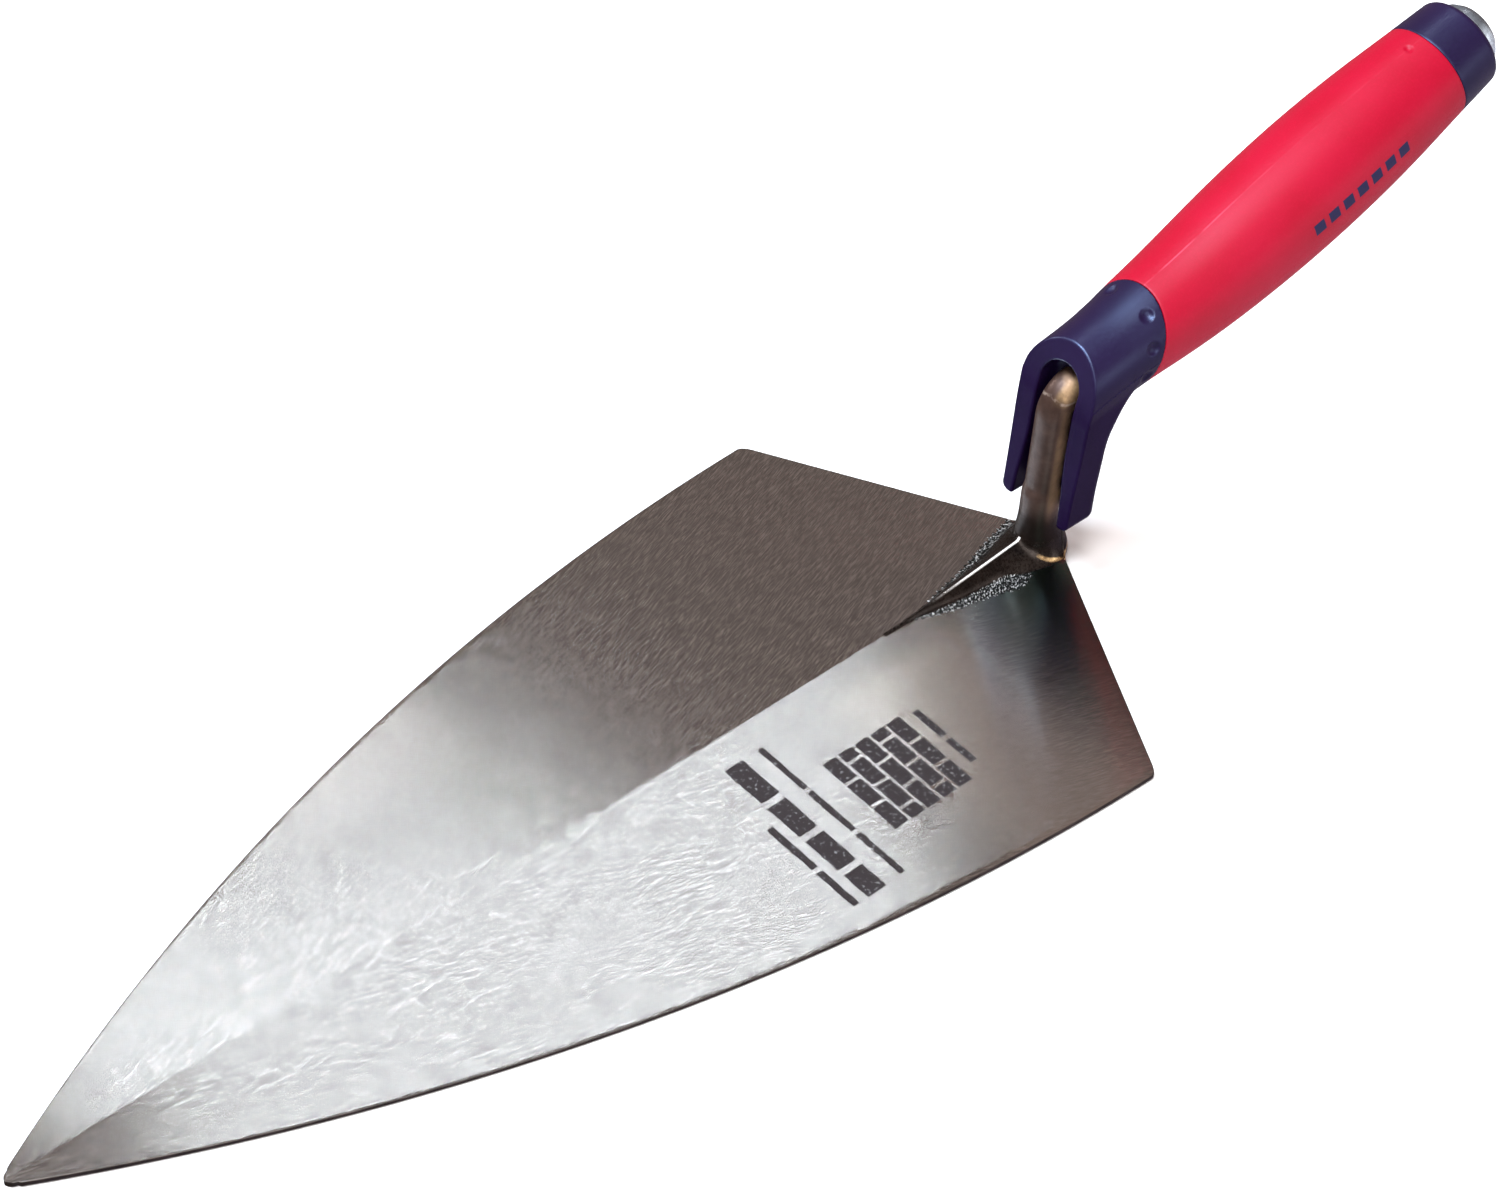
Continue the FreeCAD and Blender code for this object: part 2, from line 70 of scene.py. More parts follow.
def part_frame(points):
    """Working frame in millimetres to the part's frame in metres."""
    return (np.asarray(points, float) + (ORIGIN_X, 0, 0)) * MM


def smoothstep(a, b, x):
    s = np.clip((x - a) / (b - a), 0, 1)
    return s * s * (3 - 2 * s)


def spline(knots, values):
    """A natural cubic spline through the knots, as a function of an array."""
    x, y = np.asarray(knots, float), np.asarray(values, float)
    n = len(x)
    h = np.diff(x)
    a = np.eye(n)
    b = np.zeros(n)
    for i in range(1, n - 1):
        a[i, i - 1:i + 2] = h[i - 1], 2 * (h[i - 1] + h[i]), h[i]
        b[i] = 6 * ((y[i + 1] - y[i]) / h[i] - (y[i] - y[i - 1]) / h[i - 1])
    m = np.linalg.solve(a, b)

    def at(v):
        v = np.asarray(v, float)
        i = np.clip(np.searchsorted(x, v) - 1, 0, n - 2)
        u, w = v - x[i], x[i + 1] - v
        return (m[i] * w ** 3 + m[i + 1] * u ** 3) / (6 * h[i]) \
            + (y[i] / h[i] - m[i] * h[i] / 6) * w + (y[i + 1] / h[i] - m[i + 1] * h[i] / 6) * u
    return at


# Handle skin: centre above the axis and radius, by station along the axis.
STATIONS = (-12, -8, 10, 22, 34, 52, 83, 112, 128.2, 142.3, 150)
skin_rise = spline(STATIONS, (5.0, 4.8, 2.8, 1.6, 0.5, 0, 0, 0, 0, 0, 0))
skin_radius = spline(STATIONS, (12.2, 12.2, 12.2, 13.2, 14.2, 15.5, 16.4, 15.3, 14.0, 12.9, 12.1))


def handle_frame(x, z):
    """Station along the axis and height above it."""
    return x * COS + (z - AXIS_Z) * SIN, -x * SIN + (z - AXIS_Z) * COS


def from_handle(station, across, above):
    return np.stack([station * COS - above * SIN, across + 0 * station,
                     AXIS_Z + station * SIN + above * COS], -1)


# mesh makers ---------------------------------------------------------------------------

def add_mesh(name, points, faces, normals=None):
    mesh = bpy.data.meshes.new(name)
    mesh.from_pydata(part_frame(points).tolist(), [], faces)
    mesh.validate()
    mesh.polygons.foreach_set("use_smooth", [True] * len(mesh.polygons))
    if normals is not None:
        mesh.normals_split_custom_set_from_vertices(normals.tolist())
    mesh.update()
    item = bpy.data.objects.new(name, mesh)
    scene.collection.objects.link(item)
    return item


def grid_faces(rows, columns, around=False, start=0):
    """Quads over a lattice of rows by columns. around joins the last column to the first."""
    r, c = np.meshgrid(np.arange(rows - 1), np.arange(columns if around else columns - 1),
                       indexing="ij")
    d = (c + 1) % columns
    quads = np.stack([r * columns + c, r * columns + d, (r + 1) * columns + d,
                      (r + 1) * columns + c], -1).reshape(-1, 4) + start
    return quads.tolist()


def surface_net(field, low, high, step):
    """A closed mesh of the surface where field is 0 (it is negative inside)."""
    axes = [np.arange(a, b + step, step) for a, b in zip(low, high)]
    grid = np.meshgrid(*axes, indexing="ij")
    value = field(*grid)
    size = [n - 1 for n in value.shape]
    total = np.zeros(size + [3])
    count = np.zeros(size)
    corner = lambda d, a: a[d[0]:d[0] + size[0], d[1]:d[1] + size[1], d[2]:d[2] + size[2]]
    for axis in range(3):
        others = [k for k in range(3) if k != axis]
        for p in (0, 1):
            for q in (0, 1):
                a = [0, 0, 0]
                a[others[0]], a[others[1]] = p, q
                b = list(a)
                b[axis] = 1
                fa, fb = corner(a, value), corner(b, value)
                crossed = (fa < 0) != (fb < 0)
                share = np.where(crossed, fa / np.where(crossed, fa - fb, 1), 0)
                for k in range(3):
                    place = a[k] + (share if k == axis else 0)
                    total[..., k] += np.where(crossed, place, 0)
                count += crossed
    used = count > 0
    index = np.full(size, -1)
    index[used] = np.arange(used.sum())
    cell = np.argwhere(used)
    points = np.array(low) + (cell + total[used] / count[used][:, None]) * step
    faces = []
    for axis in range(3):
        u, v = [(1, 2), (2, 0), (0, 1)][axis]
        lo = [0, 0, 0]
        hi = list(value.shape)
        hi[axis] -= 1
        lo[u], lo[v] = 1, 1
        hi[u] -= 1
        hi[v] -= 1
        here = tuple(slice(lo[k], hi[k]) for k in range(3))
        ahead = tuple(slice(lo[k] + (k == axis), hi[k] + (k == axis)) for k in range(3))
        a_in, b_in = value[here] < 0, value[ahead] < 0
        for outward in (True, False):
            hit = np.argwhere(a_in & ~b_in if outward else ~a_in & b_in) + lo
            shift = lambda du, dv: index[tuple(
                hit[:, k] - (du if k == u else 0) - (dv if k == v else 0) for k in range(3))]
            ring = [shift(1, 1), shift(0, 1), shift(0, 0), shift(1, 0)]
            if not outward:
                ring.reverse()
            faces.append(np.stack(ring, -1))
    faces = np.concatenate(faces)

    def slope(p):
        e = step * 0.1
        g = [field(*(p + np.eye(3)[k] * e).T) - field(*(p - np.eye(3)[k] * e).T)
             for k in range(3)]
        return np.stack(g, -1) / (2 * e)
    for _ in range(4):
        g = slope(points)
        f = field(*points.T)
        move = g * (f / np.maximum((g ** 2).sum(-1), 0.05))[:, None]
        length = np.linalg.norm(move, axis=1, keepdims=True)
        points -= move * np.minimum(1, 0.5 * step / np.maximum(length, 1e-9))
    g = slope(points)
    normals = g / np.maximum(np.linalg.norm(g, axis=1, keepdims=True), 1e-9)
    return points, faces.tolist(), normals


def smooth_min(a, b, k):
    k = np.maximum(k, 1e-6)
    w = np.maximum(k - np.abs(a - b), 0) / k
    return np.minimum(a, b) - w * w * k / 4


def smooth_max(a, b, k):
    return -smooth_min(-a, -b, k)


# forging -------------------------------------------------------------------------------

FOOT = np.array((-8.7, 1.0))
KNEE = np.array((-8.4, 53.6))
BEND_R = 7.0
UP = (KNEE - FOOT) / np.linalg.norm(KNEE - FOOT)
TANG_END = np.array((16 * COS, AXIS_Z + 16 * SIN))
ALONG = (TANG_END - KNEE) / np.linalg.norm(TANG_END - KNEE)
SETBACK = BEND_R * math.tan(math.acos(UP @ ALONG) / 2)
BEND_START, BEND_END = KNEE - UP * SETBACK, KNEE + ALONG * SETBACK
BEND_CENTRE = BEND_START + np.array((UP[1], -UP[0])) * BEND_R


def blade_top(x, y):
    """Height of the two ground facets, which meet in a crease."""
    along = (HEEL_X + 1 - x) / (HEEL_X + 1 - TIP_X + 1)
    soft = 0.25 + 0.5 * smoothstep(0.5, 1.0, along)
    return 3.0 - 1.5 * along - 1.7 / 77 * (np.sqrt(y * y + soft * soft) - soft * 0.5)


# Half the ridge's width at its foot, by X.
ridge_half = spline((-62, -56, -49, -38, -27, -22, -17, -11, -4),
                    (0.25, 0.4, 0.9, 2.7, 4.0, 4.9, 6.6, 8.2, 9.0))


def plate_top(x, y):
    """Height of the blade with the sharp ridge that runs from its crease up to the shank."""
    crest = 7.9 + 0.112 * (x + 14.9) - 1.5 * np.maximum(x + 9, 0)
    base = blade_top(x, 0 * y) - 0.35
    half = np.maximum(ridge_half(np.clip(x, -62, -4)), 0.25)
    rise = np.maximum(crest - base, 0.01)
    fall = (np.sqrt(y * y + 0.05) - 0.22) * rise / half
    fall = fall * (1 - 0.16 * np.sin(np.clip(np.abs(y) / half, 0, 1) * math.pi))
    ridge = np.where(x > -66, base + rise - fall, -9)
    return smooth_max(blade_top(x, y), ridge, 0.35)


def shank_field(x, y, z):
    px, pz = x - FOOT[0], z - FOOT[1]
    rise = np.clip(px * UP[0] + pz * UP[1], -8, np.linalg.norm(BEND_START - FOOT))
    d1 = np.hypot(px - rise * UP[0], pz - rise * UP[1])
    qx, qz = x - BEND_CENTRE[0], z - BEND_CENTRE[1]
    d2 = np.abs(np.hypot(qx, qz) - BEND_R)
    turn = (qx * UP[0] + qz * UP[1] > 0) & (qx * ALONG[0] + qz * ALONG[1] < 0)
    rx, rz = x - BEND_END[0], z - BEND_END[1]
    run = np.clip(rx * ALONG[0] + rz * ALONG[1], 0, 30)
    d3 = np.hypot(rx - run * ALONG[0], rz - run * ALONG[1])
    flat = np.where(turn, d2, np.minimum(d1, d3))
    power = 2.5
    return (flat ** power + np.abs(y) ** power) ** (1 / power) - SHANK_R


def boss_field(x, y, z):
    """The forged root, a leaning cone that stands a little over the heel's point."""
    centre = -6.2 - 2.4 * smoothstep(1, 19, z)
    reach = 7.5 - 3.6 * smoothstep(1, 16, z)
    return smooth_max(np.hypot(x - centre, y) - reach, z - 22, 2.0)


def root_field(x, y, z):
    return smooth_min(shank_field(x, y, z), boss_field(x, y, z), 3.0)


def forging_field(x, y, z):
    plate = (z - plate_top(x, y)) * 0.8
    return smooth_min(plate, root_field(x, y, z), 2.5)


def over_heel(x, y):
    """Distance outside the blade's two heel edges."""
    return (x - HEEL_X + HEEL_SLOPE * np.abs(y)) / math.hypot(1, HEEL_SLOPE)


def blade_half(x):
    """Half the blade's width."""
    side = SIDE_CENTRE[1] + np.sqrt(SIDE_RADIUS ** 2 - (x - SIDE_CENTRE[0]) ** 2)
    heel = (HEEL_X - x) / HEEL_SLOPE
    width = smooth_min(side, heel, CORNER_SOFT)
    ahead = np.minimum(x - TIP_X - TIP_RADIUS, 0)
    tip = np.sqrt(np.maximum(TIP_RADIUS ** 2 - ahead ** 2, 0)) - 0.45
    return np.maximum(np.where(x < TIP_X + TIP_RADIUS, np.minimum(tip, width), width), 0.02)


def make_blade():
    xs = np.concatenate([
        TIP_X + TIP_RADIUS * (1 - np.cos(np.linspace(0, math.pi / 2, 14)))[:-1],
        np.arange(TIP_X + TIP_RADIUS, -66, 2.0), np.arange(-66, -44, 0.5), np.arange(-44, -37, 0.25),
        np.arange(-37, -24, 0.3), np.arange(-24, HEEL_X - 0.15, 0.2)])
    half = blade_half(xs)
    bevel = np.minimum(BEVEL, half * 0.4)
    inner = np.minimum(17, half * 0.8)
    fine = np.linspace(0, 1, 80)
    wide = np.linspace(0, 1, 34)[1:]
    right = [inner * u for u in fine] + [inner + (half - bevel - inner) * u for u in wide]
    y = np.stack([-v for v in right[:0:-1]] + right, 1)
    x = xs[:, None] + 0 * y
    z = raise_to_field(x, y)
    level = z[:, -1:]
    edge_y = [half - bevel * 0.3, half, half, half - bevel * 0.5]
    edge_z = [level - 0.1, level - 0.35, level * 0 + 0.3, level * 0]
    for ey, ez in zip(edge_y, edge_z):
        side = ey[:, None]
        y = np.hstack([-side, y, side])
        z = np.hstack([ez, z, ez])
        x = np.hstack([xs[:, None], x, xs[:, None]])
    points = np.stack([x, y, z], -1)
    rows, columns = x.shape
    faces = grid_faces(rows, columns)
    faces = [f[::-1] for f in faces]
    middle = (points[:-1, :-1] + points[1:, 1:]) / 2
    zones = zone_of(middle[..., 0], middle[..., 1], columns)
    at = lambda r, c: r * columns + c
    for r in range(rows - 1):
        faces.append([at(r, 0), at(r + 1, 0), at(r + 1, columns - 1), at(r, columns - 1)])
    faces.append([at(0, c) for c in range(columns)])
    faces.append([at(rows - 1, c) for c in range(columns)][::-1])
    faces = [f[::-1] for f in faces]
    item = add_mesh("blade", points.reshape(-1, 3), faces)
    zones = zones.reshape(-1).tolist() + [0] * (rows - 1) + [3, 3]
    item["zones"] = zones
    return item


# Outer and inner edges of the two rough strips left beside the ridge, by X.
ROUGH = {
    -1: (spline((-52, -43.5, -37.8, -30.6, -24.5, -20, -16.9), (0.9, 4.2, 5.6, 7.1, 9.0, 9.2, 8.0)),
         spline((-52, -38.3, -27.3, -22.2, -16.9), (0.8, 3.1, 3.9, 4.7, 7.6))),
    1: (spline((-46, -41.1, -32.5, -22.7, -14.7, -7.1), (1.4, 2.7, 4.2, 6.8, 9.0, 10.6)),
        spline((-46, -40.3, -31.7, -22.9, -14.4, -7.2), (1.2, 2.1, 3.6, 5.1, 6.5, 7.6))),
}


def zone_of(x, y, columns):
    """Finish of each face: 0 ground facet, 1 forged ridge, 2 rough strip, 3 rim."""
    zone = np.zeros(x.shape, int)
    for side, (outer, inner) in ROUGH.items():
        span = (x > (-52 if side < 0 else -46)) & (x < (-16.9 if side < 0 else -7.1))
        here = (y * side > 0) & (np.abs(y) < 16)
        v = np.clip(x, -52 if side < 0 else -46, -16.9 if side < 0 else -7.1)
        ragged = 0.35 * np.sin(x * 3.1 + side) + 0.25 * np.sin(x * 7.7)
        zone[here & span & (np.abs(y) < outer(v) + ragged) & (np.abs(y) > inner(v) - 0.2)] = 2
        zone[here & (x > -62) & (np.abs(y) < np.where(span, inner(v) - 0.2,
                                                      ridge_half(np.clip(x, -62, -4)) + 0.3))] = 1
    column = np.arange(x.shape[1])
    zone[:, (column < 4) | (column >= columns - 5)] = 3
    return zone


def raise_to_field(x, y):
    """Height of the forging's upper surface over the blade, up to where the shank takes over."""
    z = plate_top(x, y)
    near = (x > -40) & (np.abs(y) < 22)
    low, high = z[near] - 0.01, np.full(near.sum(), 8.6)
    for _ in range(18):
        middle = (low + high) / 2
        inside = forging_field(x[near], y[near], middle) < 0
        low, high = np.where(inside, middle, low), np.where(inside, high, middle)
    z[near] = np.maximum(z[near], low)
    return z


def make_shank():
    """The shank and the start of the tang, with the part inside the blade left out."""
    def field(x, y, z):
        station, _ = handle_frame(x, z)
        edge = over_heel(x, y)
        hidden = smoothstep(-0.6, -1.6, edge) * smoothstep(7.9, 7.2, z)
        plate = np.maximum((z - plate_top(x, y)) * 0.8, edge)
        d = smooth_min(plate, root_field(x, y, z), 2.5) + 0.5 * hidden
        d = np.maximum(d, np.where(edge < -1.6, 7.2 - z, -9))
        d = smooth_max(d, 0.9 - z, 0.6)
        return np.maximum(d, station - 14)
    points, faces, normals = surface_net(field, (-19, -9.5, 0.2), (19, 9.5, 66), 0.35)
    return add_mesh("shank", points, faces, normals)


# handle --------------------------------------------------------------------------------

def seam_station(around, radius_share=1.0):
    """Station of the leaning seam at an angle from the handle's top."""
    station = SEAM + 0 * around
    for _ in range(40):
        height = skin_rise(station) + radius_share * skin_radius(station) * np.cos(around)
        station = SEAM + LEAN * height
    return station


def make_sleeve():
    turns = 288
    around = np.linspace(0, 2 * math.pi, turns, endpoint=False)
    front = seam_station(around)
    s = np.unique(np.concatenate([np.linspace(0, 1, 150), np.linspace(0.932, 0.964, 22)]))[:, None]
    station = front * (1 - s) + REAR_SEAM * s
    radius = skin_radius(station)
    line = np.exp(-((np.abs(np.angle(np.exp(1j * around))) * radius) / 0.28) ** 2)
    radius = radius + 0.035 * line
    spot = np.hypot(station - 122.8, np.abs(np.angle(np.exp(1j * around))) * radius)
    radius = radius - 0.55 * smoothstep(1.5, 0.3, spot)
    edge = 0.22
    rows = [(front + edge * 0.3, -edge * 0.3), (front + 0.02, -edge), (front, -2.4)]
    back = [(REAR_SEAM - edge * 0.3 + 0 * front, -edge * 0.3),
            (REAR_SEAM - 0.02 + 0 * front, -edge), (REAR_SEAM + 0 * front, -2.4)]
    station[0], station[-1] = front + edge, REAR_SEAM - edge
    lists = [(st, skin_radius(st) + dr) for st, dr in rows[::-1]]
    lists += [(station[k], radius[k]) for k in range(len(s))]
    lists += [(st, skin_radius(st) + dr) for st, dr in back]
    points = [from_handle(st, r * np.sin(around), skin_rise(st) + r * np.cos(around))
              for st, r in lists]
    faces = grid_faces(len(lists), turns, around=True)
    n = len(lists)
    faces += [[(n - 1) * turns + k, (n - 1) * turns + (k + 1) % turns, (k + 1) % turns, k]
              for k in range(turns)]
    return add_mesh("sleeve", np.concatenate(points), faces)


def lathe(name, profile, turns=160):
    """A profile of (station, radius) turned round the handle's axis, with its ends closed."""
    around = np.linspace(0, 2 * math.pi, turns, endpoint=False)
    rows = [from_handle(np.full(turns, st), r * np.sin(around), r * np.cos(around))
            for st, r in profile]
    faces = grid_faces(len(profile), turns, around=True)
    if profile[0] != profile[-1]:
        faces += [list(range(turns)), [len(profile) * turns - 1 - k for k in range(turns)]]
    return add_mesh(name, np.concatenate(rows), faces)


def make_collar():
    round_start = COLLAR_END - COLLAR_ROUND
    seam_radius, end = float(skin_radius(REAR_SEAM)), float(skin_radius(round_start))
    profile = [(REAR_SEAM, 9.0), (REAR_SEAM, seam_radius - 0.22),
               (REAR_SEAM + 0.08, seam_radius - 0.07)]
    profile += [(float(v), float(skin_radius(v)))
                for v in np.linspace(REAR_SEAM + 0.22, round_start, 16)]
    for a in np.linspace(0.12, 1, 9) * math.pi / 2:
        profile.append((round_start + COLLAR_ROUND * math.sin(a), end - 2.4 * (1 - math.cos(a))))
    profile += [(COLLAR_END, 9.6), (COLLAR_END - 0.3, 9.28), (COLLAR_END - 3.2, 9.25), profile[0]]
    return lathe("collar", profile)


def make_cap():
    profile = [(COLLAR_END - 3.0, 1.0), (COLLAR_END - 3.0, CAP_RADIUS), (CAP_END - 2.1, CAP_RADIUS),
               (CAP_END - 1.9, 9.12), (CAP_END - 0.15, 7.42), (CAP_END - 0.03, 7.26)]
    rings = np.linspace(7.1, 0.3, 24)
    profile += [(CAP_END + 0.02 * math.sin(r * 5.5), float(r)) for r in rings]
    return lathe("cap", profile)


# guard
FACE_LOW, FACE_BEND, FACE_BEND_Z, FACE_R = -11.1, -9.3, 50.0, 43.5
LEG_BOTTOM, LEG_ROUND = 16.0, 3.6
SLOT_HALF, SLOT_ARCH_Z, SLOT_BACK = 6.3, 57.2, -2.6
DIMPLE_R, DIMPLE_DEPTH, DIMPLE_GAP = 3.0, 0.7, 4.4
DIMPLE_ANGLES = (-97, -65, -29, 29, 65, 97)


def guard_face(z):
    """X of the guard's front, flat up the legs and leaning back round the top."""
    straight = FACE_BEND + (FACE_BEND - FACE_LOW) / (FACE_BEND_Z - 8) * (z - FACE_BEND_Z)
    over = np.clip(z - FACE_BEND_Z, 0, 30)
    return straight + over ** 2 / (2 * FACE_R)


def guard_field(x, y, z):
    station, above = handle_frame(x, z)
    t = np.clip(station, -12, 40)
    head = np.hypot(above - skin_rise(t), y) - skin_radius(t)
    # the legs are a rounded slab, which a web joins to the head
    half = 11.6 + 0.6 * smoothstep(18, 52, z)
    back = x - 0.9 - 0.6 * smoothstep(22, 40, z)
    under = -4.2 + 0.28 * np.clip(station, 0, 20) - above
    web = smooth_min(back, under, 13.0)
    wide = half + (skin_radius(t) - half) * smoothstep(-12, 0, above)
    qx, qy = web + LEG_ROUND, np.abs(y) - wide + LEG_ROUND
    legs = np.minimum(np.maximum(qx, qy), 0) + np.hypot(np.maximum(qx, 0), np.maximum(qy, 0))
    legs = smooth_max(legs - LEG_ROUND, LEG_BOTTOM - z, 2.4)
    legs = np.maximum(legs, above - skin_rise(t))
    blend = 0.6 + 5 * smoothstep(9, 4, np.abs(y)) * smoothstep(0, 4, x) * smoothstep(57, 50, z)
    body = smooth_min(head, legs, blend)
    body = smooth_max(body, guard_face(z) - x, 0.6)
    # the slot for the shank, open below and widening towards its end
    flare = SLOT_HALF + 1.6 * smoothstep(42, 15, z)
    arch = np.hypot(y, z - SLOT_ARCH_Z) - SLOT_HALF
    slot = np.where(z > SLOT_ARCH_Z, arch, np.abs(y) - flare)
    slot = smooth_max(slot, x - SLOT_BACK, 3.0)
    body = smooth_max(body, -slot, 0.8)
    for bx, by, bz in DIMPLES:
        ball = DIMPLE_R - np.sqrt((x - bx) ** 2 + (y - by) ** 2 + (z - bz) ** 2)
        body = smooth_max(body, ball, 0.3)
    plane = (station - SEAM - LEAN * above) / math.hypot(1, LEAN)
    return smooth_max(body, plane, 0.25)


def dimple_centre(degrees):
    """Centre of the ball that presses a dimple at an angle from the handle's top."""
    around = math.radians(degrees)
    station = SEAM
    for _ in range(20):
        height = float(skin_rise(station) + skin_radius(station) * math.cos(around))
        station = SEAM - DIMPLE_GAP + LEAN * height
    level = float(skin_radius(station)) + DIMPLE_R - DIMPLE_DEPTH
    return from_handle(np.array(station), level * math.sin(around),
                       float(skin_rise(station)) + level * math.cos(around))


DIMPLES = [dimple_centre(angle) for angle in DIMPLE_ANGLES]


def make_guard():
    points, faces, normals = surface_net(guard_field, (-14, -14.5, 14.5), (30, 14.5, 77), 0.32)
    return add_mesh("guard", points, faces, normals)


# materials -----------------------------------------------------------------------------

class Nodes:
    """A short way to write a node tree."""

    def __init__(self, name):
        self.material = bpy.data.materials.new(name)
        self.material.use_nodes = True
        self.tree = self.material.node_tree
        self.tree.nodes.clear()
        self.out = self.add("ShaderNodeOutputMaterial")
        self.bsdf = self.add("ShaderNodeBsdfPrincipled")
        self.tree.links.new(self.bsdf.outputs[0], self.out.inputs[0])

    def add(self, kind, **settings):
        node = self.tree.nodes.new(kind)
        for key, value in settings.items():
            setattr(node, key, value)
        return node

    def put(self, socket, value):
        """Links a socket's value, or sets a plain one."""
        if hasattr(value, "links"):
            self.tree.links.new(value, socket)
        else:
            socket.default_value = value

    def shade(self, **values):
        """Sets the shader's inputs, named with _ for a space."""
        for key, value in values.items():
            self.put(self.bsdf.inputs[key.replace("_", " ")], value)

    def math(self, operation, *values):
        node = self.add("ShaderNodeMath", operation=operation)
        for socket, value in zip(node.inputs, values):
            self.put(socket, value)
        return node.outputs[0]

    def plus(self, a, b):
        return self.math("ADD", a, b)

    def minus(self, a, b):
        return self.math("SUBTRACT", a, b)

    def times(self, first, *others):
        product = first
        for value in others:
            product = self.math("MULTIPLY", product, value)
        return product

    def size(self, value):
        return self.math("ABSOLUTE", value)

    def combine(self, x, y, z):
        node = self.add("ShaderNodeCombineXYZ")
        for socket, value in zip(node.inputs, (x, y, z)):
            self.put(socket, value)
        return node.outputs[0]

    def position(self):
        """The place on the object in metres, whole and as x, y and z."""
        node = self.add("ShaderNodeTexCoord")
        split = self.add("ShaderNodeSeparateXYZ")
        self.put(split.inputs[0], node.outputs["Object"])
        return node.outputs["Object"], split.outputs

    def blade_place(self, x, y):
        """X and Y in the working frame in millimetres."""
        return self.minus(self.times(x, 1000.0), ORIGIN_X), self.times(y, 1000.0)

    def handle_place(self, x, z):
        """Station along the handle's axis and height above it, in millimetres."""
        px = self.minus(self.times(x, 1000.0), ORIGIN_X)
        pz = self.minus(self.times(z, 1000.0), AXIS_Z)
        station = self.plus(self.times(px, COS), self.times(pz, SIN))
        above = self.minus(self.times(pz, COS), self.times(px, SIN))
        return station, above

    def noise(self, vector, scale, detail=2.0, roughness=0.5):
        node = self.add("ShaderNodeTexNoise")
        self.put(node.inputs["Vector"], vector)
        node.inputs["Scale"].default_value = scale
        node.inputs["Detail"].default_value = detail
        node.inputs["Roughness"].default_value = roughness
        return node.outputs["Fac"]

    def ramp(self, value, low, high, out_low=0.0, out_high=1.0, smooth=True):
        node = self.add("ShaderNodeMapRange")
        node.interpolation_type = "SMOOTHSTEP" if smooth else "LINEAR"
        for socket, v in zip(node.inputs, (value, low, high, out_low, out_high)):
            self.put(socket, v)
        return node.outputs[0]

    def close_to(self, value, centre, full, none):
        """1 within full of the centre, fading to 0 at none."""
        return self.ramp(self.size(self.minus(value, centre)), full, none, 1.0, 0.0)

    def mix(self, factor, a, b):
        node = self.add("ShaderNodeMix", data_type="RGBA")
        for key, v in (("Factor", factor), ("A", a), ("B", b)):
            sockets = [s for s in node.inputs if s.name == key and s.enabled]
            self.put(sockets[0], v)
        return [s for s in node.outputs if s.enabled][0]

    def bump(self, height, strength, distance):
        node = self.add("ShaderNodeBump")
        node.inputs["Strength"].default_value = strength
        node.inputs["Distance"].default_value = distance
        self.put(node.inputs["Height"], height)
        return node.outputs[0]


def boxes(n, u, v, marks):
    """1 inside any of the plain rectangles (u0, v0, u1, v1), 0 elsewhere."""
    total = None
    for u0, v0, u1, v1 in marks:
        a = n.minus(n.size(n.minus(u, (u0 + u1) / 2)), (u1 - u0) / 2)
        b = n.minus(n.size(n.minus(v, (v0 + v1) / 2)), (v1 - v0) / 2)
        d = n.math("MAXIMUM", a, b)
        total = d if total is None else n.math("MINIMUM", total, d)
    return n.ramp(total, -0.05, 0.05, 1.0, 0.0, smooth=False)


def blade_marks():
    """A patch of brick bond and plain bars, as (x0, y0, x1, y1) in millimetres."""
    marks = []
    bond_low, bond_high = -48.6, -22.4
    for course in range(5):
        x0 = -104.5 + course * 5.4
        start = bond_low - (4.6 if course % 2 else 0.0)
        while start < -23.0:
            y0, y1 = max(start, bond_low), min(start + 8.2, bond_high)
            if y1 - y0 > 1.5:
                marks.append((x0, y0, x0 + 4.5, y1))
            start += 9.2
    for x0, x1, ends in ((-124.6, -118.6, (-60.0, -51.5, -49.5, -38.0, -36.0, -24.5, -22.5, -9.0)),
                         (-113.6, -111.9, (-59.5, -44.0, -42.5, -27.0, -25.5, -9.0)),
                         (-129.4, -127.4, (-60.0, -47.0, -45.5, -29.5)),
                         (-75.0, -72.9, (-44.5, -35.5, -34.0, -23.5))):
        marks += [(x0, y0, x1, y1) for y0, y1 in zip(ends[::2], ends[1::2])]
    return marks


